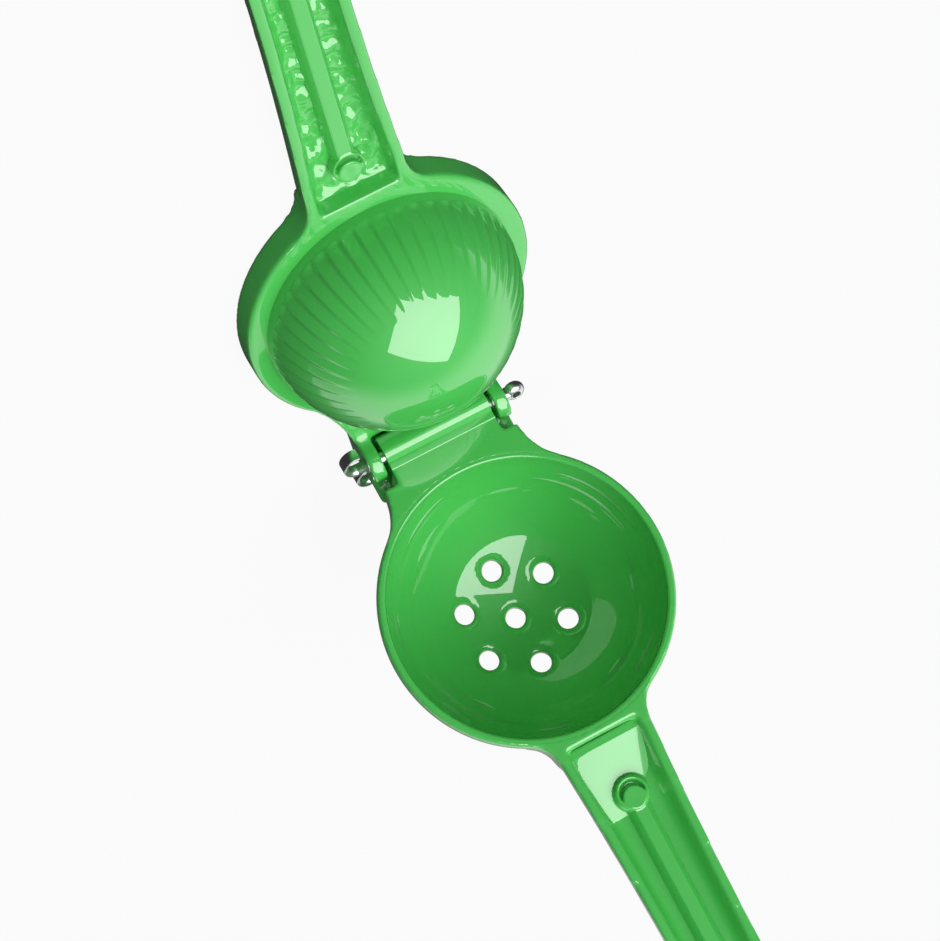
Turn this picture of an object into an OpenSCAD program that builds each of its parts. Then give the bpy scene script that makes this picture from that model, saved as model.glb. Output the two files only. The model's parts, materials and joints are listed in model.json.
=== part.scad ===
// Hinged lemon squeezer, cast in two halves and joined by a split pin.
// It lies on the flat back of the press half, open as far as the hinge allows.
// Millimetres, +Z up, +X from the hinge to the end of the press handle.

/* [Bowl] */
// Inside radius of the bowl at its rim
bowl_r = 33; // [30:0.5:38]
// Width of the flat rim around the bowl
rim_w = 2; // [1.6:0.1:3]
// Straight wall inside the bowl above its round part
bowl_straight = 1.5; // [0.5:0.1:4]
// Depth of the straight band outside the bowl below its rim
rim_band = 2.5; // [2:0.1:4]
// Wall at the bottom of the bowl
bowl_floor = 3; // [2.4:0.1:4]
// Diameter of a drain hole
drain_d = 5.1; // [3:0.1:6]
// Radius of the ring of drain holes
drain_ring = 12.8; // [10:0.1:18]
// Number of drain holes in the ring
drain_count = 6; // [4:1:8]
// Depth of the dish around each drain hole
drain_dish = 0.5; // [0.2:0.1:0.8]

/* [Press] */
// Gap between the bowl and the dome all round when closed
press_gap = 3.1; // [2:0.1:5]
// Width of the flat face around the dome
face_w = 4.4; // [3.5:0.1:6]
// Depth of the press ring, from its face to its flat back
ring_depth = 7.6; // [7:0.1:10]
// Gap between the two flat faces when closed
face_gap = 0.9; // [0.6:0.1:2]
// How far the centre of the dome lies behind the face
dome_sink = 1.05; // [0.5:0.05:2]
// Height of the smooth band at the foot of the dome
dome_band = 2.6; // [1.5:0.1:5]
// Wall of the dome
dome_wall = 3; // [2:0.1:4]
// Number of flutes around the dome
flute_count = 48; // [24:2:60]
// Depth of a flute at the foot of the dome
flute_depth = 0.6; // [0.3:0.05:0.7]
// Angle above the face where the flutes have faded out
flute_fade = 50; // [35:1:60]

/* [Hinge] */
// Distance from the centre of the bowl to the hinge axis
hinge_reach = 45.2; // [44.8:0.1:50]
// Depth of the hinge axis below the rim of the bowl
hinge_drop = 2.8; // [2:0.1:3.4]
// Radius of the barrel on the bowl half
barrel_r = 4.9; // [4.6:0.1:5.4]
// Length of the barrel
barrel_len = 27.6; // [22:0.2:30]
// Side clearance between the barrel and an ear
ear_gap = 1.1; // [0.4:0.1:1.6]
// Thickness of an ear
ear_t = 3.4; // [2.5:0.1:4]
// Radius of the rounded end of an ear
ear_r = 4.8; // [4.2:0.1:5.2]
// Clearance around the barrel in the press half
barrel_clear = 0.6; // [0.4:0.1:1]
// Length of the notch in front of an ear, from the hinge axis
notch_reach = 7.7; // [7.2:0.1:8.5]
// Angle of opening at which the hinge meets its stop
open_angle = 117; // [100:1:125]
// Clearance left at the stop
stop_gap = 0.3; // [0.2:0.05:0.5]
// Reach of the stops behind the neck, from the hinge axis
stop_reach = 9.2; // [8:0.1:9.4]
// Thickness of the stops
stop_t = 3; // [2:0.1:4]

/* [Split pin] */
// Diameter of the pin's shank
pin_d = 3.2; // [2.5:0.1:3.6]
// Radial clearance of the pin in both halves
pin_clear = 0.08; // [0.03:0.01:0.1]
// Inside radius of the eye
eye_in = 1; // [0.8:0.1:1.6]
// Straight length of the long leg outside its ear
leg_a_out = 3; // [2:0.1:4]
// Bend radius of the long leg
leg_a_bend = 3.9; // [3.2:0.1:4.5]
// Straight length of the short leg outside its ear
leg_b_out = 0.7; // [0.5:0.1:2]
// Bend radius of the short leg
leg_b_bend = 3.1; // [2.6:0.1:3.6]
// Turn of the pin about its axis
pin_turn = -5; // [-40:1:40]

/* [Handles] */
// Half width of a handle where it leaves its root
root_half = 11.9; // [10:0.1:13]
// Distance of that place from the centre of the bowl
root_x = 38; // [37:0.5:42]
// Half width at the waist
waist_half = 9.6; // [8.5:0.1:11]
// Distance of the waist from the centre of the bowl
waist_x = 105; // [95:1:115]
// Distance from the centre of the bowl to the end of a handle
end_x = 165; // [145:1:180]
// Radius of the hollow corner at the root
root_fillet = 8; // [5:0.5:12]
// Depth of the bowl handle
handle_depth = 8; // [7:0.1:10]
// Fall of the bowl handle away from the rim plane, degrees
handle_fall = 2.2; // [0:0.1:4]
// Width of the flat flange along the edge
flange_w = 2.4; // [1.8:0.1:3]
// Depth of the channel in a handle
channel_depth = 5.2; // [3:0.1:5.6]
// Width of the rib along the channel
rib_w = 5.2; // [3.5:0.1:6.5]
// Height of the rib above the channel floor
rib_h = 3.2; // [1.5:0.1:4]
// Radius of the raised disc in its socket
disc_r = 2.8; // [2:0.1:3.4]
// Start of the channel in the bowl handle
bowl_channel_x = 35.8; // [35.6:0.1:38]
// Depth of that channel at its start
bowl_channel_start = 1.5; // [1:0.1:3]
// Place where that channel reaches its full depth
bowl_floor_x = 55; // [50:0.5:70]
// Place of the disc in the bowl handle
bowl_disc_x = 52.4; // [48:0.1:60]
// Start of the channel in the press handle
press_channel_x = 33.6; // [33:0.1:36]
// Place of the disc in the press handle
press_disc_x = 40.5; // [40:0.1:60]

/* [Hidden] */
$fn = 96;
enamel = [0.25, 0.75, 0.32];
steel = [0.80, 0.81, 0.83];
rim_r = bowl_r + rim_w;
bowl_depth = bowl_straight + bowl_r;
outer_depth = bowl_depth + bowl_floor;
dome_r = bowl_r - press_gap;
band_r = dome_r - 0.4;
ring_r = band_r + face_w + 0.4;
dome_z = ring_depth - dome_sink;
axis_z = ring_depth + face_gap + hinge_drop;
ear_in = barrel_len / 2 + ear_gap;
ear_out = ear_in + ear_t;
neck_x = hinge_reach - notch_reach;
neck_half = ear_out - 0.5;
neck_depth = hinge_drop + barrel_r;
// concave flank of the bowl neck: touches the rim circle and the neck side
flank_r = (neck_x * neck_x + neck_half * neck_half - rim_r * rim_r) / (2 * (rim_r - neck_half));
// concave flank of the press neck: centred on the hinge axis line
press_flank_r = 40;
// arc of a handle's edge, through the waist and the root
waist_r = (pow(waist_x - root_x, 2) + pow(root_half - waist_half, 2)) / (2 * (root_half - waist_half));
// rounded end: a little wider than the handle, so that its corners stay soft
end_r = waist_half + 2.2;
end_c = end_x - end_r;
// angle above the face where the flutes begin
band_up = asin((dome_band + dome_sink) / dome_r);
// share of a flute taken by its steep side
flute_steep = 0.2;
mound_r = disc_r + 1.1;
// how far the socket around a disc lies off the disc's centre
socket_off = 1.2;
// the floor of the press channel starts this much higher, and is level from here on
press_rise = 0.2;
press_floor_x = press_disc_x + 12;
mound_h = rib_h + 0.4;
stop_x = barrel_r + stop_gap;
// far corner of the bowl handle, and the middle of the opened object along X
far_u = root_x + (end_x - root_x) * cos(handle_fall) - handle_depth * sin(handle_fall);
far_w = -(end_x - root_x) * sin(handle_fall) - handle_depth * cos(handle_fall);
far_x = (far_u + hinge_reach) * cos(open_angle) + (far_w + hinge_drop) * sin(open_angle) - hinge_reach;
mid_x = (end_x + far_x) / 2;

// ---------- shared shapes ----------

// points of a quarter round, for a revolved section
function quarter(cx, cy, r, from) = [for (a = [0 : 15 : 90]) [cx + r * cos(from + a), cy + r * sin(from + a)]];

// revolved shapes outside the two edges of a handle, seen from the waist centres
module edge_ring(section) {
    for (s = [-1, 1])
        translate([waist_x, s * (waist_half + waist_r), 0])
            rotate(-s * 90 - 5) rotate_extrude(angle = 10, $fn = 720) polygon(section);
}

// everything past the round end of a handle, less an inset
module past_end(inset) {
    translate([end_c, 0, -20]) difference() {
        translate([0, -20, 0]) cube([end_r + 8, 40, 30]);
        cylinder(r = end_r - inset, h = 30);
    }
}

// body of a handle: face at z = 0, drafted sides with a rounded back edge
module handle_blank(depth) {
    out = waist_r + 0.5 + 2.2;
    difference() {
        difference() {
            translate([root_x - 8, -20, -depth]) cube([end_x + 3 - root_x + 8, 40, depth]);
            edge_ring(concat([[waist_r - 30, 1], [waist_r - 30, -depth - 1], [out, -depth - 1]],
                [for (p = [6 : -1 : 0]) quarter(out, 2.2 - depth, 2.2, 180)[p]],
                [[waist_r, 0], [waist_r, 1]]));
        }
        past_end(0);
    }
}

// space of the channel, open at the face, with sloping walls; it starts at x0 and has its
// full depth from floor_x on
module channel_void(x0, start, floor_x) {
    run = 2.2;
    d = channel_depth;
    edge = waist_r + flange_w;
    difference() {
        difference() {
            rotate([90, 0, 0]) linear_extrude(height = 40, center = true)
                polygon([[x0, 1], [x0, 0], [x0 + run * 0.45 * start / d, (1.4 - d) * start / d],
                    [x0 + run * start / d, -start], [floor_x, -d], [end_x + 3, -d], [end_x + 3, 1]]);
            edge_ring([[edge - 30, 2], [edge - 30, -d - 1], [edge + run, -d - 1], [edge + run, -d],
                [edge + run * 0.45, 1.4 - d], [edge, 0], [edge, 2]]);
        }
        past_end(flange_w);
    }
}

// rib along the channel and the disc in its socket at disc_x; the socket is a crescent on side dir
module channel_rib(disc_x, dir) {
    translate([disc_x, 0, -channel_depth - 0.5]) {
        difference() {
            union() {
                translate([dir * socket_off, 0, 0])
                    cylinder(r1 = mound_r + 0.9, r2 = mound_r, h = mound_h + 0.5);
                rotate([90, 0, 90])
                    linear_extrude(height = end_x - flange_w - disc_x)
                        polygon([[-rib_w / 2 - 0.5, 0], [rib_w / 2 + 0.5, 0], [rib_w / 2 - 0.3, rib_h - 0.5],
                            [rib_w / 2 - 1.1, rib_h + 0.5], [1.1 - rib_w / 2, rib_h + 0.5],
                            [0.3 - rib_w / 2, rib_h - 0.5]]);
            }
            translate([dir * socket_off, 0, mound_h - 1.1])
                cylinder(r1 = disc_r - 0.7, r2 = disc_r + 0.7, h = 1.9);
        }
        cylinder(r = disc_r, h = mound_h + 0.6);
    }
}

// fills the two hollow corners between a round rim and its handle
module root_corners(r, depth) {
    fx = sqrt(pow(r + root_fillet, 2) - pow(root_half + root_fillet, 2));
    translate([0, 0, -depth]) linear_extrude(height = depth) difference() {
        translate([r * 0.8, -root_half - root_fillet]) square([fx - r * 0.8, 2 * (root_half + root_fillet)]);
        for (s = [-1, 1]) translate([fx, s * (root_half + root_fillet)]) circle(r = root_fillet);
        // keeps the fill behind the rim where the corner starts
        for (s = [-1, 1]) translate([r * 0.8 - 1, s * (root_half + root_fillet + 10)])
            square([2 * fx, 20], center = true);
    }
}

// ---------- bowl half, in its own frame: rim centre at the origin, bowl below ----------

module bowl_outside() {
    rotate_extrude() difference() {
        union() {
            translate([0, -rim_band]) square([rim_r, rim_band - 0.6]);
            translate([0, -1]) square([rim_r - 0.6, 1]);
            translate([rim_r - 0.6, -0.6]) circle(r = 0.6, $fn = 32);
            intersection() {
                translate([0, -rim_band]) scale([1, (outer_depth - rim_band) / rim_r]) circle(r = rim_r);
                translate([0, -rim_band - 60]) square([60, 60]);
            }
        }
        translate([-60, -120]) square([60, 240]);
    }
}

module bowl_inside() {
    rotate_extrude() difference() {
        union() {
            translate([0, -bowl_straight]) square([bowl_r, bowl_straight + 1]);
            intersection() {
                translate([0, -bowl_straight]) circle(r = bowl_r);
                translate([0, -bowl_straight - 60]) square([60, 60]);
            }
            // eases the inner edge of the rim
            translate([0, -0.7]) square([bowl_r + 0.7, 2]);
        }
        translate([bowl_r + 0.7, -0.7]) circle(r = 0.7, $fn = 32);
        translate([-60, -120]) square([60, 240]);
    }
}

// a drain hole with its shallow dish, at radius r from the centre
module drain(r) {
    z = -bowl_straight - sqrt(bowl_r * bowl_r - r * r);
    translate([r, 0, z - 8]) cylinder(d = drain_d, h = 12, $fn = 48);
    translate([r, 0, z]) rotate([0, -asin(r / bowl_r), 0])
        translate([0, 0, -drain_dish]) cylinder(r1 = drain_d / 2 + 0.1, r2 = drain_d / 2 + 2.1, h = 1.2, $fn = 48);
}

module bowl_neck() {
    translate([0, 0, -neck_depth]) linear_extrude(height = neck_depth) difference() {
        translate([-neck_x, -rim_r]) square([neck_x - 5, 2 * rim_r]);
        for (s = [-1, 1]) {
            translate([-neck_x, s * (neck_half + flank_r)]) circle(r = flank_r);
            translate([-neck_x / 2 + 10, s * (rim_r * 0.82 + 20)]) square([neck_x + 60, 40], center = true);
        }
    }
    // tongue that carries the barrel
    translate([-hinge_reach, -barrel_len / 2, -neck_depth]) cube([notch_reach + 1, barrel_len, neck_depth]);
    translate([-hinge_reach, 0, -hinge_drop]) rotate([90, 0, 0]) cylinder(r = barrel_r, h = barrel_len, center = true);
}

module bowl_half() {
    difference() {
        union() {
            bowl_outside();
            bowl_neck();
            difference() {
                union() {
                    translate([root_x, 0, 0]) rotate([0, handle_fall, 0]) translate([-root_x, 0, 0])
                        handle_blank(handle_depth);
                    root_corners(rim_r, handle_depth);
                }
                // nothing stands above the plane of the rim
                translate([0, -40, 0]) cube([80, 80, 10]);
                translate([root_x, 0, 0]) rotate([0, handle_fall, 0]) translate([-root_x, 0, 0])
                    channel_void(bowl_channel_x, bowl_channel_start, bowl_floor_x);
            }
            translate([root_x, 0, 0]) rotate([0, handle_fall, 0]) translate([-root_x, 0, 0])
                channel_rib(bowl_disc_x, -1);
        }
        bowl_inside();
        drain(0);
        for (i = [0 : drain_count - 1]) rotate(i * 360 / drain_count) drain(drain_ring);
        translate([-hinge_reach, 0, -hinge_drop]) rotate([90, 0, 0])
            cylinder(r = pin_d / 2 + pin_clear, h = barrel_len + 2, center = true, $fn = 48);
    }
}

// ---------- press half, in its own frame: back at z = 0, dome above ----------

module press_ring() {
    rotate_extrude() {
        translate([0, 0.6]) square([ring_r, ring_depth - 1.2]);
        square([ring_r - 0.6, ring_depth]);
        translate([ring_r - 0.6, 0.6]) circle(r = 0.6, $fn = 32);
        translate([ring_r - 0.6, ring_depth - 0.6]) circle(r = 0.6, $fn = 32);
    }
}

// depth of the saw-toothed flutes at t, a share of one flute, and at an angle above the face
function flute_at(t, up) = up <= band_up || up >= flute_fade ? 0 :
    flute_depth * (t < flute_steep ? t / flute_steep : (1 - t) / (1 - flute_steep))
    * (1 - pow((up - band_up) / (flute_fade - band_up), 1.6));

// the dome: smooth foot, flutes that fade as they climb, smooth crown; lofted from rings of points
module fluted_dome() {
    steps = [0, flute_steep, 0.4, 0.7];
    n = flute_count * len(steps);
    rows = 9;
    foot = asin((dome_sink - 1) / dome_r);
    ups = concat([foot, (foot + band_up) / 2, band_up],
        [for (k = [0 : rows]) band_up + 1.2 + (flute_fade - band_up - 1.2) * k / rows],
        [for (k = [1 : 6]) flute_fade + (87 - flute_fade) * k / 6]);
    points = concat([for (up = ups, i = [0 : flute_count - 1], t = steps)
        let (r = dome_r - flute_at(t, up), a = (i + t) * 360 / flute_count)
        [r * cos(up) * cos(a), r * cos(up) * sin(a), r * sin(up)]], [[0, 0, dome_r]]);
    m = len(ups) - 1;
    translate([0, 0, dome_z]) polyhedron(points = points, faces = concat(
        [[for (i = [0 : n - 1]) i]],
        [for (k = [0 : m - 1], i = [0 : n - 1], half = [0, 1])
            let (p = k * n + i, q = k * n + (i + 1) % n)
            half == 0 ? [p, p + n, q] : [p + n, q + n, q]],
        [for (i = [0 : n - 1]) [m * n + i, len(points) - 1, m * n + (i + 1) % n]]), convexity = 4);
}

// hollow of the dome, open at the back, with a flared mouth
module dome_hollow() {
    inner = dome_r - dome_wall;
    flare = 2.5;
    rotate_extrude($fn = 128) difference() {
        union() {
            intersection() {
                translate([0, dome_z]) circle(r = inner, $fn = 128);
                translate([0, dome_z]) square([60, 60]);
            }
            translate([0, -1]) square([inner, dome_z + 1]);
            translate([0, -1]) square([inner + flare, flare + 1]);
        }
        translate([inner + flare, flare]) circle(r = flare, $fn = 48);
        translate([-60, -60]) square([60, 180]);
    }
}

// point of a stop, in side view from the hinge axis: how far up the opened neck, and how far behind it
function stop_at(up, back) = [up * cos(open_angle) - (stop_x + back) * sin(open_angle),
    up * sin(open_angle) + (stop_x + back) * cos(open_angle)];

// side view of an ear, from the hinge axis: round end, hollow corner at its foot
module ear_side() {
    foot = face_gap + hinge_drop;
    corner = 2.8;
    circle(r = ear_r);
    translate([-ear_r, -axis_z]) square([2 * ear_r, axis_z]);
    difference() {
        translate([0, -axis_z]) square([ear_r + corner, axis_z - foot + corner]);
        translate([ear_r + corner, corner - foot]) circle(r = corner, $fn = 48);
    }
    // heel behind the ear, which ends in the stop behind the neck of the opened bowl half
    polygon([[-ear_r - 3.6, 3 - axis_z], [-ear_r - 2.6, 1 - axis_z], [-ear_r - 1, -axis_z], [0, -axis_z],
        [0, 0], stop_at(0, 0), stop_at(stop_reach, 0), stop_at(stop_reach - 1, stop_t),
        [-ear_r - 3.9, -2]]);
}

// side view of the web under the barrel and behind it
module web_side() {
    top = 1.5;
    difference() {
        polygon([[-ear_r - 3.6, 3 - axis_z], [-ear_r - 2.6, 1 - axis_z], [-ear_r - 1, -axis_z],
            [notch_reach + 2, -axis_z], [notch_reach + 2, -hinge_drop - face_gap], [0, -hinge_drop - face_gap],
            [0, top], [-ear_r - 2.8, top], [-ear_r - 3.6, top - 0.8]]);
        circle(r = barrel_r + barrel_clear);
        // room for the tongue of the bowl half, opened as far as it goes
        rotate(open_angle - 90) translate([-stop_x, 0]) square([stop_x + 20, 40]);
    }
}

module press_neck() {
    linear_extrude(height = ring_depth) difference() {
        translate([-hinge_reach + ear_r, -ring_r]) square([hinge_reach - ear_r - 8, 2 * ring_r]);
        for (s = [-1, 1]) {
            translate([-hinge_reach, s * (ear_out + press_flank_r)]) circle(r = press_flank_r, $fn = 180);
            translate([0, s * (ring_r * 0.86 + 20)]) square([120, 40], center = true);
        }
    }
    translate([-hinge_reach, 0, axis_z]) rotate([90, 0, 0]) {
        for (s = [-1, 1]) translate([0, 0, s * (ear_in + ear_t / 2)])
            linear_extrude(height = ear_t, center = true) ear_side();
        linear_extrude(height = 2 * ear_in + 1, center = true) web_side();
    }
}

module press_half() {
    difference() {
        union() {
            press_ring();
            fluted_dome();
            difference() {
                press_neck();
                // room for the barrel between the ears
                translate([-hinge_reach, 0, axis_z]) rotate([90, 0, 0])
                    cylinder(r = barrel_r + barrel_clear, h = 2 * ear_in, center = true);
            }
            translate([0, 0, ring_depth]) {
                handle_blank(ring_depth);
                root_corners(ring_r, ring_depth);
            }
        }
        dome_hollow();
        translate([0, 0, ring_depth]) channel_void(press_channel_x, channel_depth - press_rise, press_floor_x);
        translate([-hinge_reach, 0, axis_z]) rotate([90, 0, 0])
            cylinder(r = pin_d / 2 + pin_clear, h = 2 * ear_out + 2, center = true, $fn = 48);
    }
    translate([0, 0, ring_depth]) channel_rib(press_disc_x, 1);
}

// ---------- split pin, along +Y from its eye to its legs ----------

module half_round(side) {
    r = pin_d / 2 - 0.06;
    intersection() {
        circle(r = r, $fn = 40);
        translate([side > 0 ? 0.05 : -pin_d, -pin_d]) square([pin_d - 0.05, 2 * pin_d]);
    }
}

// a leg of half-round wire, bent away from the other leg
module leg(out, bend, turn) {
    rotate([-90, 0, 0]) linear_extrude(height = out + 1) half_round(1);
    translate([bend, out + 1, 0]) rotate([0, 0, 180]) mirror([0, 1, 0])
        rotate_extrude(angle = turn) translate([bend, 0]) half_round(-1);
}

module split_pin() {
    eye_y = -ear_out - 0.3 - eye_in - pin_d / 2;
    translate([0, eye_y, 0]) {
        rotate_extrude($fn = 64) translate([eye_in, 0]) half_round(1);
    }
    translate([0, eye_y + eye_in + 0.3, 0]) rotate([-90, 0, 0])
        cylinder(d = pin_d, h = 2 * ear_out + pin_d / 2 - 1, $fn = 48);
    translate([0, ear_out - 1, 0]) {
        leg(leg_a_out, leg_a_bend, 205);
        rotate([0, 180, 0]) leg(leg_b_out, leg_b_bend, 190);
    }
}

// ---------- the three pieces in place ----------

module upper_press_half() {
    color(enamel) translate([-mid_x, 0, 0]) press_half();
}

module lower_bowl_half() {
    color(enamel) translate([-hinge_reach - mid_x, 0, axis_z]) rotate([0, -open_angle, 0]) rotate([180, 0, 0])
        translate([hinge_reach, 0, hinge_drop]) bowl_half();
}

module hinge_split_pin() {
    color(steel) translate([-hinge_reach - mid_x, 0, axis_z]) rotate([0, pin_turn, 0]) split_pin();
}

upper_press_half();
lower_bowl_half();
hinge_split_pin();
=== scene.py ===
import json
from math import asin, atan2, ceil, cos, pi, radians, sin, sqrt

import bmesh
import bpy
from mathutils import Matrix, Vector, noise


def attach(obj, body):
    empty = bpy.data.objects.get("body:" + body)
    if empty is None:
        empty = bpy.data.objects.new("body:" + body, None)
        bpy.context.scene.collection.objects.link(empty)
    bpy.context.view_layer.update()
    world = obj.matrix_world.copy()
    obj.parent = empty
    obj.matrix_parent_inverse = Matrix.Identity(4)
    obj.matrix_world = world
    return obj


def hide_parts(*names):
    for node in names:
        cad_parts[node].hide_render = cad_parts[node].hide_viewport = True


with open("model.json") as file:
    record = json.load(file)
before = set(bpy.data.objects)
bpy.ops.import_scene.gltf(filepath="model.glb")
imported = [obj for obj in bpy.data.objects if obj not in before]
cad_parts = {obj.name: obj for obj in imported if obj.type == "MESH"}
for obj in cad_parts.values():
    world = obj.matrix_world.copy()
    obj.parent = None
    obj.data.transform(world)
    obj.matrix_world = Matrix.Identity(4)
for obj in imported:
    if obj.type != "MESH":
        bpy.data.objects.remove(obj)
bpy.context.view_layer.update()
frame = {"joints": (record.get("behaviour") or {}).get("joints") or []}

# Enamelled squeezer, open on its stops.
# Shapes are made in mm in each half's own frame and then placed in metres.
# Bowl frame: rim centre at 0, bowl hangs below, handle along +X.
# Press frame: ring centre at 0, flat back at z = 0, handle along +X.

bowl = {"radius": 33.0, "rim": 2.0, "straight": 1.5, "band": 2.5, "floor": 3.0}
press = {"domeRadius": 29.9, "ringRadius": 34.3, "depth": 7.6, "sink": 1.05, "band": 2.6, "wall": 3.0,
         "flank": 40.0}
hinge = {"reach": 45.2, "drop": 2.8, "barrel": 4.9, "length": 27.6, "gap": 1.1, "ear": 3.4,
         "earRadius": 4.8, "clear": 0.6, "notch": 7.7, "faceGap": 0.9}
pin = {"diameter": 3.2, "clear": 0.08, "split": 0.06, "eye": 1.0, "turn": -5.0, "edge": 0.18,
       "longLeg": 2.5, "longBend": 3.4, "longAngle": 205,
       "shortLeg": 0.7, "shortBend": 3.1, "shortAngle": 190}
handle = {"rootX": 38.0, "root": 11.9, "waistX": 105.0, "waist": 9.6, "end": 165.0, "endExtra": 2.2,
          "fillet": 8.0, "depth": 8.0, "fall": 2.2, "lean": 0.4, "back": 2.2}
channel = {"flange": 2.4, "depth": 5.2, "run": 2.2, "bowlStart": 35.8, "pressStart": 33.6}
rib = {"width": 5.2, "height": 3.2, "disc": 2.8, "bowlDisc": 52.4, "pressDisc": 40.5, "socket": 1.2,
       "bowlFlare": 0.95, "pressFlare": 0.1, "sink": 0.5, "bowlSide": -1, "pressSide": 1}
voxel = {"bowl": 0.6, "press": 0.5, "rib": 0.2}

joint = frame["joints"][0]
hingeAt = Vector(joint["pos_m"]) * 1000
openAngle = radians(joint["range_deg"][1])
toMetres = Matrix.Scale(0.001, 4)
pressPlace = toMetres @ Matrix.Translation((hingeAt.x + hinge["reach"], 0, 0))
bowlPlace = (toMetres @ Matrix.Translation(hingeAt) @ Matrix.Rotation(-openAngle, 4, "Y")
             @ Matrix.Rotation(pi, 4, "X") @ Matrix.Translation((hinge["reach"], 0, hinge["drop"])))
earIn = hinge["length"] / 2 + hinge["gap"]
earOut = earIn + hinge["ear"]
domeZ = press["depth"] - press["sink"]
rimRadius = bowl["radius"] + bowl["rim"]
neckX = hinge["reach"] - hinge["notch"]
neckHalf = earOut - 0.5
neckDepth = hinge["drop"] + hinge["barrel"]
waistRadius = (((handle["waistX"] - handle["rootX"]) ** 2 + (handle["root"] - handle["waist"]) ** 2)
               / (2 * (handle["root"] - handle["waist"])))
endRadius = handle["waist"] + handle["endExtra"]
endCentre = handle["end"] - endRadius
pinBore = pin["diameter"] / 2 + pin["clear"]


# ---- helpers for making meshes ----

def arc(cx, cz, radius, start, stop, steps):
    angles = [radians(start + (stop - start) * i / steps) for i in range(steps + 1)]
    return [(cx + radius * cos(a), cz + radius * sin(a)) for a in angles]


def closedLoop(bm, points):
    verts = [bm.verts.new(p) for p in points]
    return [bm.edges.new((verts[i - 1], verts[i])) for i in range(len(verts))]


def tidied(bm):
    bmesh.ops.remove_doubles(bm, verts=bm.verts, dist=0.0004)
    bmesh.ops.recalc_face_normals(bm, faces=bm.faces)
    return bm


def spun(profile, steps=192):  # (radius, height) points turned about Z
    bm = bmesh.new()
    edges = closedLoop(bm, [(r, 0, z) for r, z in profile])
    bmesh.ops.spin(bm, geom=bm.verts[:] + edges, cent=(0, 0, 0), axis=(0, 0, 1), angle=2 * pi,
                   steps=steps, use_merge=True)
    return tidied(bm)


def lofted(rings):  # closed rings with the same number of points
    bm = bmesh.new()
    loops = [closedLoop(bm, ring) for ring in rings]
    for low, high in zip(loops, loops[1:]):
        bmesh.ops.bridge_loops(bm, edges=low + high)
    for loop in (loops[0], loops[-1]):
        bmesh.ops.contextual_create(bm, geom=loop)
    return tidied(bm)


def prism(outline, low, high):  # outline in XY, from z = low to high
    return lofted([[(x, y, z) for x, y in outline] for z in (low, high)])


def sidePrism(outline, low, high):  # outline in XZ, from y = low to high
    return lofted([[(x, y, z) for x, z in outline] for y in (low, high)])


def moved(bm, matrix):
    bmesh.ops.transform(bm, matrix=matrix, verts=bm.verts)
    return bm


def joinedMesh(name, parts):
    bm = bmesh.new()
    for part in parts:
        scratch = bpy.data.meshes.new("scratch")
        part.to_mesh(scratch)
        part.free()
        bm.from_mesh(scratch)
        bpy.data.meshes.remove(scratch)
    mesh = bpy.data.meshes.new(name)
    bm.to_mesh(mesh)
    bm.free()
    obj = bpy.data.objects.new(name, mesh)
    bpy.context.scene.collection.objects.link(obj)
    return obj


def applyModifiers(obj):
    bpy.context.view_layer.update()
    graph = bpy.context.evaluated_depsgraph_get()
    mesh = bpy.data.meshes.new_from_object(obj.evaluated_get(graph))
    old = obj.data
    obj.modifiers.clear()
    obj.data = mesh
    bpy.data.meshes.remove(old)


def cutAway(obj, cutters):
    tool = joinedMesh("cutter", cutters)
    cut = obj.modifiers.new("cut", "BOOLEAN")
    cut.operation = "DIFFERENCE"
    cut.solver = "EXACT"
    cut.use_self = True
    cut.object = tool
    applyModifiers(obj)
    bpy.data.objects.remove(tool)


def castSkin(obj, size, rounds):  # one closed skin over the joined solids, its edges eased as by enamel
    remesh = obj.modifiers.new("skin", "REMESH")
    remesh.mode = "VOXEL"
    remesh.voxel_size = size
    ease = obj.modifiers.new("ease", "SMOOTH")
    ease.factor = 0.5
    ease.iterations = rounds
    applyModifiers(obj)


def placed(obj, matrix, body, material):
    obj.data.transform(matrix)
    if matrix.determinant() < 0:
        obj.data.flip_normals()
    for face in obj.data.polygons:
        face.use_smooth = True
    obj.data.materials.clear()
    obj.data.materials.append(material)
    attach(obj, body)
    print(obj.name, "triangles", sum(len(f.vertices) - 2 for f in obj.data.polygons))


# ---- materials ----

def hexColour(code):
    parts = [int(code[i:i + 2], 16) / 255 for i in (1, 3, 5)]
    return tuple(c / 12.92 if c <= 0.04045 else ((c + 0.055) / 1.055) ** 2.4 for c in parts) + (1.0,)


def addNode(tree, kind, settings=None, inputs=None):
    node = tree.nodes.new(kind)
    for name, value in (settings or {}).items():
        setattr(node, name, value)
    for name, value in (inputs or {}).items():
        if isinstance(value, bpy.types.NodeSocket):
            tree.links.new(value, node.inputs[name])
        else:
            node.inputs[name].default_value = value
    return node


def newMaterial(name):
    material = bpy.data.materials.new(name)
    material.use_nodes = True
    tree = material.node_tree
    return material, tree, tree.nodes["Principled BSDF"]


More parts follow.
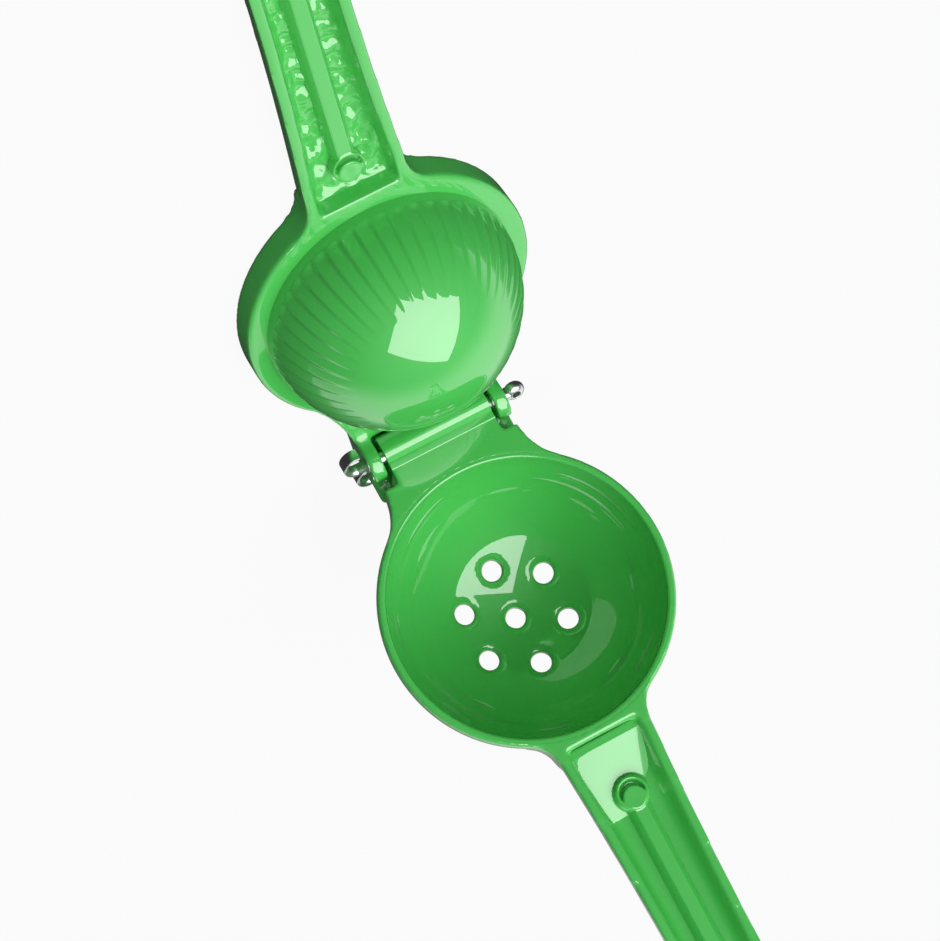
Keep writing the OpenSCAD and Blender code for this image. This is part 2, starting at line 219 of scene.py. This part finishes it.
def makeEnamel():
    # gloss enamel baked on cast aluminium: a thick even coat with a faint orange peel
    look = {"colour": "#4CC656", "deep": "#45C150", "peel": 2.4, "cloud": 14.0, "rough": 0.5, "ior": 1.37,
            "glossRough": 0.03, "glossIor": 1.9}
    material, tree, shader = newMaterial("gloss enamel")
    place = addNode(tree, "ShaderNodeTexCoord").outputs["Object"]
    cloud = addNode(tree, "ShaderNodeTexNoise", None,
                    {"Vector": place, "Scale": 1000 / look["cloud"], "Detail": 2.0})
    tint = addNode(tree, "ShaderNodeMix", {"data_type": "RGBA"}, {0: cloud.outputs["Fac"],
                   6: hexColour(look["deep"]), 7: hexColour(look["colour"])})
    tree.links.new(tint.outputs[2], shader.inputs["Base Color"])
    peel = addNode(tree, "ShaderNodeTexNoise", None,
                   {"Vector": place, "Scale": 1000 / look["peel"], "Detail": 1.0})
    bump = addNode(tree, "ShaderNodeBump", None,
                   {"Height": peel.outputs["Fac"], "Strength": 0.06, "Distance": 0.0004})
    tree.links.new(bump.outputs["Normal"], shader.inputs["Normal"])
    shader.inputs["Roughness"].default_value = look["rough"]
    shader.inputs["IOR"].default_value = look["ior"]
    shader.inputs["Coat Weight"].default_value = 1.0
    shader.inputs["Coat Roughness"].default_value = look["glossRough"]
    shader.inputs["Coat IOR"].default_value = look["glossIor"]
    return material


def makeZincWire():
    # drawn steel wire with bright zinc: fine lines along it and a soft mirror
    look = {"colour": "#E4E5E7", "line": 0.25, "rough": 0.28}
    material, tree, shader = newMaterial("bright zinc plated wire")
    place = addNode(tree, "ShaderNodeTexCoord").outputs["Object"]
    stretch = addNode(tree, "ShaderNodeMapping", None, {"Vector": place, "Scale": (1.0, 0.15, 1.0)})
    lines = addNode(tree, "ShaderNodeTexNoise", None,
                    {"Vector": stretch.outputs["Vector"], "Scale": 1000 / look["line"], "Detail": 2.0})
    bump = addNode(tree, "ShaderNodeBump", None,
                   {"Height": lines.outputs["Fac"], "Strength": 0.1, "Distance": 0.0001})
    tree.links.new(bump.outputs["Normal"], shader.inputs["Normal"])
    shader.inputs["Base Color"].default_value = hexColour(look["colour"])
    shader.inputs["Metallic"].default_value = 1.0
    shader.inputs["Roughness"].default_value = look["rough"]
    return material


enamel = makeEnamel()
zincWire = makeZincWire()
print("materials made")


# ---- handles ----

def handleOutline(start, inset):  # seen from above, blunt at start and round at the end
    r = endRadius - inset
    side = waistRadius + inset
    xs = [start + (endCentre - start) * i / 40 for i in range(40)]
    xs += [endCentre + r * sin(radians(t)) for t in range(0, 91, 5)]
    half = []
    for x in xs:
        y = handle["waist"] + waistRadius - sqrt(side ** 2 - (x - handle["waistX"]) ** 2)
        half.append((x, min(y, sqrt(max(r * r - max(x - endCentre, 0) ** 2, 0)))))
    return half + [(x, -y) for x, y in reversed(half[:-1])]


def handleSolid(depth):
    rings = [(0.0, 0.0)]
    for t in range(0, 91, 15):
        drop = depth - handle["back"] + handle["back"] * sin(radians(t))
        rings.append((drop, handle["lean"] + handle["back"] * (1 - cos(radians(t)))))
    start = handle["rootX"] - 8
    return lofted([[(x, y, -drop) for x, y in handleOutline(start, inset)] for drop, inset in rings])


def channelSpace(start):
    depth, run, flange = channel["depth"], channel["run"], channel["flange"]
    rings = []
    for drop, out in ((-1.0, 0.0), (0.0, 0.0), (depth - 1.4, 0.45), (depth - 0.6, 0.62), (depth, 1.0)):
        rings.append([(x, y, -drop) for x, y in handleOutline(start + run * out, flange + run * out)])
    return lofted(rings)


def ribSolids(discX, side):
    floorZ = -channel["depth"] - rib["sink"]
    half, height, r = rib["width"] / 2, rib["height"], rib["disc"]
    section = [(-half - 0.5, 0), (0.3 - half, height - 0.5), (1.1 - half, height + 0.5)]
    section += [(-y, z) for y, z in reversed(section)]
    long = lofted([[(x, y, floorZ + z) for y, z in section]
                   for x in (discX, handle["end"] - channel["flange"] - 1)])
    flare = rib["bowlFlare"] if side < 0 else rib["pressFlare"]
    mound = spun([(0, 0), (r + 0.95 + flare, 0), (r + 0.95 + flare * 0.2, height + 0.6),
                  (r + 0.85, height + 0.8), (0, height + 0.8)], 64)
    return [long, moved(mound, Matrix.Translation((discX + side * rib["socket"], 0, floorZ)))]


def makeRib(name, discX, side, extra):  # the socket is a crescent on one side of the disc
    top = -channel["depth"] + rib["height"] + 0.4
    r = rib["disc"]
    obj = joinedMesh(name, ribSolids(discX, side) + extra)
    room = spun([(0, top - 1.9), (r - 0.1, top - 1.9), (r + 0.5, top + 0.1), (r + 0.9, top + 1),
                 (0, top + 1)], 64)
    cutAway(obj, [moved(room, Matrix.Translation((discX + side * rib["socket"], 0, 0)))])
    disc = spun([(0, top - 3), (r, top - 3), (r, top - 0.15), (r - 0.2, top + 0.05), (0, top)], 64)
    whole = bmesh.new()
    whole.from_mesh(obj.data)
    bpy.data.objects.remove(obj)
    obj = joinedMesh(name, [whole, moved(disc, Matrix.Translation((discX, 0, 0)))])
    castSkin(obj, voxel["rib"], 4)
    return obj


ramp = {"start": 36.4, "shelf": 1.9, "first": 1.3, "end": 53.5, "crown": 50.0,
        "twist": 2.0, "endTwist": 12.0}


def rampSolid():  # the bowl half's channel starts on a shallow shelf, then slopes down to its floor
    low = -channel["depth"] - 0.6
    first = ramp["start"] + ramp["shelf"]
    rings = []
    for i in range(-1, 13):
        x = first + (ramp["end"] + 2 - first) * i / 12 if i >= 0 else ramp["start"]
        share = max(0, (x - first) / (ramp["end"] - first))
        top = ramp["first"] + (channel["depth"] - ramp["first"]) * share
        twist = radians(ramp["twist"] + (ramp["endTwist"] - ramp["twist"]) * share)
        wall = handle["waist"] + waistRadius - sqrt(waistRadius ** 2 - (x - handle["waistX"]) ** 2)
        half = wall - channel["flange"] - 0.2
        ring = []
        for y in [half * (j / 8 - 1) for j in range(17)]:
            drop = top + y * y / (2 * ramp["crown"]) + y * twist
            ring.append((x, y, max(low + 0.05, min(-0.3, -drop))))
        rings.append(ring + [(x, half, low), (x, -half, low)])
    return lofted(rings)


def rootCorner(radius, depth, side):  # hollow corner between a round rim and the handle
    f = handle["fillet"]
    y0 = handle["root"] + f
    fx = sqrt((radius + f) ** 2 - y0 ** 2)
    touch = atan2(y0, fx)
    points = arc(fx, y0, f, 180 + touch * 180 / pi, 270, 12)
    points += [(fx, 4), (radius * 0.8, 4), (radius * 0.8, radius * 0.8 * y0 / fx)]
    return prism([(x, side * y) for x, y in points], -depth, 0)


# ---- bowl half ----

sleeve = {"from": 27.0, "to": 34.2, "ease": 0.6, "proud": 0.004, "thick": 0.12, "sink": 0.15}
drain = {"diameter": 5.1, "ring": 12.8, "count": 6, "dish": 0.55, "dishWidth": 2.0}
crest = {"radius": 2.2, "from": 94, "to": 40, "slope": 0.84, "step": 0.22, "stepReach": 4.0,
         "stepEdge": 0.4, "proud": 0.004, "thick": 0.38, "sink": 0.3, "end": 0.1}
shelf = {"reach": 2.2, "drop": 3.6, "neckDrop": 2.6, "gap": 0.1}


def barrelTop(sink):  # seen from the side: round behind, then a tight crest that steps down to the neck
    axisX, axisZ = -hinge["reach"], -hinge["drop"]
    lift, turn = hinge["barrel"] - crest["radius"], radians(crest["from"])
    points = arc(axisX, axisZ, hinge["barrel"] - sink, 170, crest["from"] + 2, 16)
    points += arc(axisX + lift * cos(turn), axisZ + lift * sin(turn), crest["radius"] - sink,
                  crest["from"], crest["to"], 14)
    x, z = points[-1]
    points.append((x + (z - crest["step"] + sink) * crest["slope"], crest["step"] - sink))
    edge = crest["stepEdge"]
    return points + arc(axisX + crest["stepReach"], crest["step"] - edge, edge - sink, 90, 10, 6)


def makeBarrelTop():
    half = hinge["length"] / 2 - crest["end"]
    skin = sidePrism(barrelTop(-crest["proud"]) + barrelTop(crest["thick"])[::-1], -half, half)
    return joinedMesh("bowlBarrel", [skin])


def bowlSolids():
    r, band = rimRadius, bowl["band"]
    deep = bowl["straight"] + bowl["radius"] + bowl["floor"]
    curve = [(r * cos(radians(t)), -band - (deep - band) * sin(radians(t))) for t in range(0, 91, 3)]
    outside = spun([(0, 0), (r - 0.5, 0), (r, -0.5)] + curve, 256)
    flank = (neckX ** 2 + neckHalf ** 2 - r ** 2) / (2 * (r - neckHalf))
    touch = atan2(neckHalf + flank, neckX)
    edge = arc(-neckX, neckHalf + flank, flank, 270, 360 - touch * 180 / pi, 12)
    edge.append((-5, edge[-1][1]))
    neck = prism(edge + [(x, -y) for x, y in reversed(edge)], -neckDepth, 0)
    half, root = hinge["length"] / 2, 1 - neckX
    tongue = prism([(-hinge["reach"], -half), (root, -half), (root, half), (-hinge["reach"], half)],
                   -neckDepth, 0)
    under = arc(-hinge["reach"], -hinge["drop"], hinge["barrel"], 350, 172, 48)
    barrel = sidePrism(barrelTop(crest["sink"]) + under, -half, half)
    wide = earIn - shelf["gap"]
    start = -neckX - shelf["reach"]
    notchShelf = sidePrism([(start, -neckDepth), (start, -shelf["drop"]), (root, -shelf["neckDrop"]),
                            (root, -neckDepth)], -wide, wide)
    fall = (Matrix.Translation((handle["rootX"], 0, 0)) @ Matrix.Rotation(radians(handle["fall"]), 4, "Y")
            @ Matrix.Translation((-handle["rootX"], 0, 0)))
    grip = moved(handleSolid(handle["depth"]), fall)
    corners = [rootCorner(r, handle["depth"], side) for side in (-1, 1)]
    return [outside, neck, tongue, barrel, notchShelf, grip] + corners, fall


def bowlCutters(fall):
    r, s = bowl["radius"], bowl["straight"]
    curve = [(r * cos(radians(t)), -s - r * sin(radians(t))) for t in range(0, 91, 2)]
    cutters = [spun([(0, 2), (r + 0.9, 2), (r + 0.9, 0.05), (r + 0.35, -0.2), (r, -0.8)] + curve, 256)]
    for i in range(-1, drain["count"]):
        ring = drain["ring"] if i >= 0 else 0
        z = -s - sqrt(r * r - ring * ring)
        hole = spun([(0, -9), (drain["diameter"] / 2, -9), (drain["diameter"] / 2, 6), (0, 6)], 48)
        dish = spun([(0, -drain["dish"]), (drain["diameter"] / 2 + 0.2, -drain["dish"]),
                     (drain["diameter"] / 2 + drain["dishWidth"], 0.5), (0, 0.5)], 48)
        lean = Matrix.Rotation(-asin(ring / r), 4, "Y")
        turn = Matrix.Rotation(2 * pi * i / drain["count"], 4, "Z") @ Matrix.Translation((ring, 0, z))
        cutters += [moved(hole, turn), moved(dish, turn @ lean)]
    bore = sidePrism(arc(-hinge["reach"], -hinge["drop"], pinBore, 0, 352.5, 47), -20, 20)
    above = prism([(0, -60), (80, -60), (80, 60), (0, 60)], 0, 8)
    return cutters + [bore, above, moved(channelSpace(channel["bowlStart"]), fall)]


def trueBowl(obj):  # takes the last unevenness out of the round faces, and sinks them under the sleeve
    r, s, sink = bowl["radius"], bowl["straight"], sleeve["sink"]
    for v in obj.data.vertices:
        p = v.co - Vector((0, 0, -s))
        flat = Vector((v.co.x, v.co.y, 0))
        if p.z < -1 and abs(p.length - r) < 0.12:
            share = min(1, max(0, flat.length - sleeve["from"] - 0.5))
            v.co = Vector((0, 0, -s)) + p.normalized() * (r + sink * share)
        elif r - 0.6 < flat.length < sleeve["to"] - 0.35 and -s - 1.2 < v.co.z < 0.2:
            out = max(flat.length, r) + sink
            v.co = Vector((flat.x / flat.length * out, flat.y / flat.length * out, v.co.z - sink))


def makeSleeve():  # the inner wall and the eased inner edge of the rim, turned as one smooth band
    r, s, ease = bowl["radius"], bowl["straight"], sleeve["ease"]
    proud, thick = sleeve["proud"], sleeve["thick"]
    first = asin(sqrt(1 - (sleeve["from"] / r) ** 2)) * 180 / pi
    inner = [((r - proud) * cos(radians(t)), -s - (r - proud) * sin(radians(t))) for t in
             [first * (1 - i / 24) for i in range(25)]]
    edge = arc(r + ease, -ease, ease + proud, 180, 90, 10)
    behind = [(sleeve["to"], -thick), (r + ease, -thick), (r + thick, -ease), (r + thick, -s)]
    behind += [((r + thick) * cos(radians(t)), -s - (r + thick) * sin(radians(t))) for t in
               [first * i / 12 for i in range(1, 12)]]
    return joinedMesh("bowlSleeve", [spun(inner + edge + [(sleeve["to"], proud)] + behind, 360)])


solids, fall = bowlSolids()
bowlCasting = joinedMesh("bowlCasting", solids)
cutAway(bowlCasting, bowlCutters(fall))
castSkin(bowlCasting, voxel["bowl"], 5)
trueBowl(bowlCasting)
placed(bowlCasting, bowlPlace, "bowl", enamel)
for band in (makeSleeve(), makeBarrelTop()):
    placed(band, bowlPlace, "bowl", enamel)
    band.data.set_sharp_from_angle(angle=radians(40))
bowlRib = makeRib("bowlRib", rib["bowlDisc"], rib["bowlSide"], [rampSolid()])
placed(bowlRib, bowlPlace @ fall, "bowl", enamel)
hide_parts("lower_bowl_half")
print("bowl half made")


# ---- press half ----

flute = {"count": 48, "depth": 0.6, "fade": 50.0, "steep": 0.25, "rise": 2.5, "ease": 1.6}
stops = {"gap": 0.3, "reach": 9.2, "thick": 3.0, "heel": 3.6, "lipStart": 4.0, "lip": 1.8, "lipIn": 1.3}


def fluteDepth(share, up):  # saw-toothed: a steep side and a long easy one
    low = asin((press["band"] + press["sink"]) / press["domeRadius"]) * 180 / pi
    if up <= low or up >= flute["fade"]:
        return 0.0
    tooth = share / flute["steep"] if share < flute["steep"] else (1 - share) / (1 - flute["steep"])
    climb = (up - low) / (flute["fade"] - low)
    start = min(1.0, (up - low) / flute["rise"])
    return flute["depth"] * tooth * sqrt(start) * (1 - climb ** flute["ease"])


def makeDome():
    r, inner = press["domeRadius"], press["domeRadius"] - press["wall"]
    ups = [-4 + 0.75 * i for i in range(int(94 / 0.75) + 1)]
    outer = [(r * cos(radians(u)), domeZ + r * sin(radians(u))) for u in ups]
    hollow = [(inner * cos(radians(u)), domeZ + inner * sin(radians(u))) for u in range(90, -1, -3)]
    bm = spun(outer[:-1] + [(0, domeZ + r)] + hollow + [(inner, 4.9), (r - 0.5, 4.9)], flute["count"] * 12)
    centre = Vector((0, 0, domeZ))
    for v in bm.verts:
        p = v.co - centre
        if p.length < r - 0.01 or p.z <= 0:
            continue
        share = (atan2(p.y, p.x) / (2 * pi) * flute["count"]) % 1
        up = asin(min(1, p.z / p.length)) * 180 / pi
        v.co = centre + p * (1 - fluteDepth(share, up) / r)
    return joinedMesh("fluteDome", [bm])


def stopAt(up, back):  # up the opened neck and behind it, seen from the hinge axis
    off = hinge["barrel"] + stops["gap"] + back
    return up * cos(openAngle) - off * sin(openAngle), up * sin(openAngle) + off * cos(openAngle)


def pressSolids():
    r, depth = press["ringRadius"], press["depth"]
    inner = press["domeRadius"] - press["wall"]
    flare = arc(inner + 2.5, 2.5, 2.5, 270, 180, 8)
    ring = spun(flare + [(inner, 5.0), (inner + 1, 5.0), (inner + 1, depth), (r - 0.5, depth),
                         (r, depth - 0.5), (r, 0.5), (r - 0.5, 0)], 256)
    reach, axisZ, flank, wide = hinge["reach"], hingeAt.z, press["flank"], r * 0.86
    edge = [(-reach + flank * sin(radians(t)), earOut + flank - flank * cos(radians(t)))
            for t in range(7, 46, 3)]
    edge = [(-reach + hinge["earRadius"], earOut)] + [p for p in edge if p[1] < wide] + [(-8, wide)]
    neck = prism(edge + [(-8, -wide)] + [(x, -y) for x, y in reversed(edge[:-1])], 0, depth)
    er, heel, foot = hinge["earRadius"], stops["heel"], hinge["faceGap"] + hinge["drop"]
    side = arc(0, 0, er, 180, 0, 24) + arc(er + 2.8, 2.8 - foot, 2.8, 180, 270, 8)
    side += [(er + 2.8, -axisZ), (-er, -axisZ)]
    heelTop, heelFoot = (-er - heel, 3 - axisZ), (-er - heel + 1, 1 - axisZ)
    tip = [stopAt(stops["reach"], 0), stopAt(stops["reach"] - 1, stops["thick"])]
    heels = [stopAt(0, 0)] + tip + [(-er - heel - 0.3, -2), heelTop, heelFoot, (-er - 1, -axisZ),
                                    (0, -axisZ), (0, 0)]
    lip = [stopAt(stops["lipStart"], 0)] + tip + [stopAt(stops["lipStart"], stops["thick"])]
    ears = []
    for outline, low, high in ((side, earIn, earOut), (heels, earIn, earOut),
                               (lip, earIn - stops["lipIn"], earIn - stops["lipIn"] + stops["lip"])):
        outline = [(x - reach, z + axisZ) for x, z in outline]
        ears += [sidePrism(outline, -high, -low), sidePrism(outline, low, high)]
    top, back = 1.5, hinge["notch"] + 2
    web = [heelTop, heelFoot, (-er - 1, -axisZ), (back, -axisZ), (back, -foot), (0, -foot), (0, top),
           (-er - heel + 0.8, top), (-er - heel, top - 0.8)]
    web = sidePrism([(x - reach, z + axisZ) for x, z in web], -earIn - 0.5, earIn + 0.5)
    grip = moved(handleSolid(depth), Matrix.Translation((0, 0, depth)))
    corners = [moved(rootCorner(r, depth, s), Matrix.Translation((0, 0, depth))) for s in (-1, 1)]
    return ring, neck, ears, web, [grip] + corners


def makePressCasting():
    ring, neck, ears, web, grips = pressSolids()
    reach, axisZ = hinge["reach"], hingeAt.z
    clear, stop = hinge["barrel"] + hinge["clear"], hinge["barrel"] + stops["gap"]
    barrelRoom = sidePrism(arc(-reach, axisZ, clear, 0, 356.25, 95), -earIn, earIn)
    lean = Matrix.Translation((-reach, 0, axisZ)) @ Matrix.Rotation(-(openAngle - pi / 2), 4, "Y")
    room = moved(sidePrism([(-stop, 0), (20, 0), (20, 40), (-stop, 40)], -earIn, earIn), lean)
    body = joinedMesh("pressNeck", [neck, web])
    cutAway(body, [barrelRoom, room])
    rest = joinedMesh("pressCasting", [ring] + ears + grips)
    bore = sidePrism(arc(-reach, axisZ, pinBore, 0, 352.5, 47), -22, 22)
    inside, top = press["domeRadius"] - press["wall"] + 1.2, press["depth"] - 0.6
    hollow = spun([(0, -1), (inside, -1), (inside, top), (0, top)], 192)
    channelCut = moved(channelSpace(channel["pressStart"]), Matrix.Translation((0, 0, press["depth"])))
    cutAway(body, [hollow])
    cutAway(rest, [bore, channelCut])
    bm = bmesh.new()
    bm.from_mesh(rest.data)
    bm.from_mesh(body.data)
    bm.to_mesh(rest.data)
    bm.free()
    bpy.data.objects.remove(body)
    return rest


lump = {"size": 3.0, "height": 0.95, "fine": 1.3, "grain": 0.28, "rise": 0.1, "riseEnd": 51.0,
        "riseRun": 8.0, "reach": 1.6, "fade": 1.4}


def roughChannel(obj):  # the sand of the mould left this floor lumpy, and a little higher by the ring
    low = press["depth"] - channel["depth"]
    start, end = channel["pressStart"] + 1, handle["end"] - 4
    for v in obj.data.vertices:
        if start < v.co.x < end and abs(v.co.y) < 9.5 and low - 0.3 < v.co.z < low + lump["reach"]:
            coarse = lump["height"] * noise.noise(v.co / lump["size"])
            fine = lump["grain"] * noise.noise(v.co / lump["fine"] + Vector((7, 3, 1)))
            rise = lump["rise"] * min(lump["riseRun"], max(0, lump["riseEnd"] - v.co.x))
            v.co.z += min(1, (low + lump["reach"] - v.co.z) / lump["fade"]) * (coarse + fine + rise)


fluteDome = makeDome()
placed(fluteDome, pressPlace, "press", enamel)
pressCasting = makePressCasting()
castSkin(pressCasting, voxel["press"], 5)
roughChannel(pressCasting)
placed(pressCasting, pressPlace, "press", enamel)
pressRib = makeRib("pressRib", rib["pressDisc"], rib["pressSide"], [])
placed(pressRib, pressPlace @ Matrix.Translation((0, 0, press["depth"])), "press", enamel)
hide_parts("upper_press_half")
print("press half made")


# ---- split pin: half-round wire, folded at its eye ----

def halfRound():  # D-shaped section in XZ, its flat side by x = 0
    points = arc(pin["split"], 0, pin["diameter"] / 2 - pin["split"], -90, 90, 16)
    return [(max(x, pin["split"]), z) for x, z in points]


def legSolid(reachOut, bend, angle):
    bm = bmesh.new()
    edges = closedLoop(bm, [(x, 0, z) for x, z in halfRound()])
    bmesh.ops.contextual_create(bm, geom=edges)
    face = bm.faces[:]
    start = earOut - 1
    bmesh.ops.translate(bm, vec=(0, start, 0), verts=bm.verts)
    grown = bmesh.ops.extrude_face_region(bm, geom=face)["geom"]
    verts = [g for g in grown if isinstance(g, bmesh.types.BMVert)]
    bmesh.ops.translate(bm, vec=(0, reachOut + 1, 0), verts=verts)
    face = [g for g in grown if isinstance(g, bmesh.types.BMFace)]
    bmesh.ops.spin(bm, geom=face, cent=(bend, start + reachOut + 1, 0), axis=(0, 0, -1),
                   angle=radians(angle), steps=ceil(angle / 5))
    return tidied(bm)


def makePin():
    r = pin["diameter"] / 2
    eyeY = -earOut - 0.3 - pin["eye"] - r
    shank = sidePrism(arc(0, 0, r, 0, 352.5, 47), eyeY + pin["eye"] + 0.4, earOut)
    eye = spun([(pin["eye"] + x, z) for x, z in halfRound()], 64)
    shortLeg = legSolid(pin["shortLeg"], pin["shortBend"], pin["shortAngle"])
    legs = [legSolid(pin["longLeg"], pin["longBend"], pin["longAngle"]),
            moved(shortLeg, Matrix.Rotation(pi, 4, "Y"))]
    obj = joinedMesh("splitPin", [shank, moved(eye, Matrix.Translation((0, eyeY, 0)))] + legs)
    soften = obj.modifiers.new("soften", "BEVEL")
    soften.width = pin["edge"]
    soften.segments = 3
    soften.limit_method = "ANGLE"
    soften.angle_limit = radians(40)
    applyModifiers(obj)
    return obj


splitPin = makePin()
pinPlace = toMetres @ Matrix.Translation(hingeAt) @ Matrix.Rotation(radians(pin["turn"]), 4, "Y")
placed(splitPin, pinPlace, "press", zincWire)
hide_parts("hinge_split_pin")
print("split pin made")


# ---- floor, lights, camera ----

# The studio is a white room that is dark on one side.
# Its directions are fixed in the room and point away from the object.
studio = {"darkSide": (0.8020, 0.1440, 0.5797), "lamp": (0.2181, -0.1547, 0.9636),
          "glowSide": (-0.0461, -0.2006, 0.9786)}


def fadedBy(tree, place, direction, start, stop, low, high):  # goes from low to high along a direction
    along = addNode(tree, "ShaderNodeVectorMath", {"operation": "DOT_PRODUCT"}, {0: place, 1: direction})
    return addNode(tree, "ShaderNodeMapRange", {"interpolation_type": "SMOOTHSTEP"},
                   {"Value": along.outputs["Value"], "From Min": start, "From Max": stop, "To Min": low,
                    "To Max": high}).outputs[0]


def makeFloor():
    # matt white paper that keeps the shadow
    # the object's gloss sees it fade into the dark side of the room
    look = {"colour": "#959595", "rough": 0.9, "size": 4.0, "showsWhite": 0.94, "far": 0.8, "near": 0.03,
            "fadeFrom": -0.6, "fadeTo": 0.0}
    bm = bmesh.new()
    bmesh.ops.create_grid(bm, x_segments=1, y_segments=1, size=look["size"])
    floor = joinedMesh("floor", [bm])
    material, tree, shader = newMaterial("matt white paper")
    shader.inputs["Base Color"].default_value = hexColour(look["colour"])
    shader.inputs["Roughness"].default_value = look["rough"]
    path = addNode(tree, "ShaderNodeLightPath")
    place = addNode(tree, "ShaderNodeTexCoord").outputs["Object"]
    level = Vector((studio["darkSide"][0], studio["darkSide"][1], 0)).normalized()
    fade = fadedBy(tree, place, level, look["fadeFrom"], look["fadeTo"], look["far"], look["near"])
    direct = addNode(tree, "ShaderNodeMath", {"operation": "MULTIPLY"},
                     {0: path.outputs["Is Camera Ray"], 1: look["showsWhite"]})
    share = addNode(tree, "ShaderNodeMath", {"operation": "MAXIMUM"},
                    {0: direct.outputs[0], 1: path.outputs["Is Glossy Ray"]})
    strength = addNode(tree, "ShaderNodeMix", {"data_type": "FLOAT"},
                       {0: path.outputs["Is Camera Ray"], 2: fade, 3: 1.0})
    white = addNode(tree, "ShaderNodeEmission", None,
                    {"Color": (1, 1, 1, 1), "Strength": strength.outputs[0]})
    mix = addNode(tree, "ShaderNodeMixShader", None,
                  {0: share.outputs[0], 1: shader.outputs[0], 2: white.outputs[0]})
    tree.links.new(mix.outputs[0], tree.nodes["Material Output"].inputs["Surface"])
    floor.data.materials.append(material)


# The camera's place is in the bowl frame, in mm.
# Its turn is an axis times an angle, and focal and wide are in pixels.
camera = {"at": (52.26, -77.68, 543.51), "turn": (2.5175, 1.5127, -0.0838), "focal": 2371.2, "wide": 940.0,
          "sensor": 36.0}


def makeCamera():
    turn = Vector(camera["turn"])
    look = Matrix.Rotation(turn.length, 4, turn.normalized()).inverted()
    flip = Matrix.Diagonal((1, -1, -1, 1))
    where = bowlPlace @ Matrix.Translation(camera["at"]) @ look @ flip
    place, spin, _ = where.decompose()
    data = bpy.data.cameras.new("camera")
    data.sensor_fit = "HORIZONTAL"
    data.sensor_width = camera["sensor"]
    data.lens = camera["focal"] * camera["sensor"] / camera["wide"]
    data.clip_start = 0.01
    obj = bpy.data.objects.new("camera", data)
    obj.matrix_world = Matrix.Translation(place) @ spin.to_matrix().to_4x4()
    bpy.context.scene.collection.objects.link(obj)
    bpy.context.scene.camera = obj


softBox = {"distance": 1.8, "size": 1.9, "power": 39.0}


def makeSoftBox():
    away = Vector(studio["lamp"]).normalized()
    data = bpy.data.lights.new("soft box", "AREA")
    data.shape = "SQUARE"
    data.size = softBox["size"]
    data.energy = softBox["power"]
    obj = bpy.data.objects.new("soft box", data)
    facing = away.to_track_quat("Z", "Y").to_matrix().to_4x4()
    obj.matrix_world = Matrix.Translation(bowlPlace.translation + away * softBox["distance"]) @ facing
    bpy.context.scene.collection.objects.link(obj)


def makeWorld():  # white on one side and dark on the other, with a faint glow round the soft box
    levels = {"fill": 0.22, "white": 1.0, "dark": 0.03, "glow": 0.15, "fadeFrom": -0.35, "fadeTo": 0.15}
    world = bpy.data.worlds.new("white studio")
    bpy.context.scene.world = world
    world.use_nodes = True
    tree = world.node_tree
    base = tree.nodes["Background"]
    base.inputs["Color"].default_value = (1, 1, 1, 1)
    path = addNode(tree, "ShaderNodeLightPath")
    way = addNode(tree, "ShaderNodeTexCoord").outputs["Generated"]
    mirrored = fadedBy(tree, way, studio["darkSide"], levels["fadeFrom"], levels["fadeTo"], levels["white"],
                       levels["dark"])
    glow = fadedBy(tree, way, studio["glowSide"], 0.0, 1.0, 0.0, levels["glow"])
    lit = addNode(tree, "ShaderNodeMix", {"data_type": "FLOAT"},
                  {0: path.outputs["Is Glossy Ray"], 2: levels["fill"], 3: mirrored})
    total = addNode(tree, "ShaderNodeMath", {"operation": "ADD"}, {0: lit.outputs[0], 1: glow})
    strength = addNode(tree, "ShaderNodeMix", {"data_type": "FLOAT"},
                       {0: path.outputs["Is Camera Ray"], 2: total.outputs[0], 3: 1.0})
    tree.links.new(strength.outputs[0], base.inputs["Strength"])


makeCamera()
makeFloor()
makeSoftBox()
makeWorld()
bpy.context.scene.view_settings.view_transform = "Standard"
print("stage made")
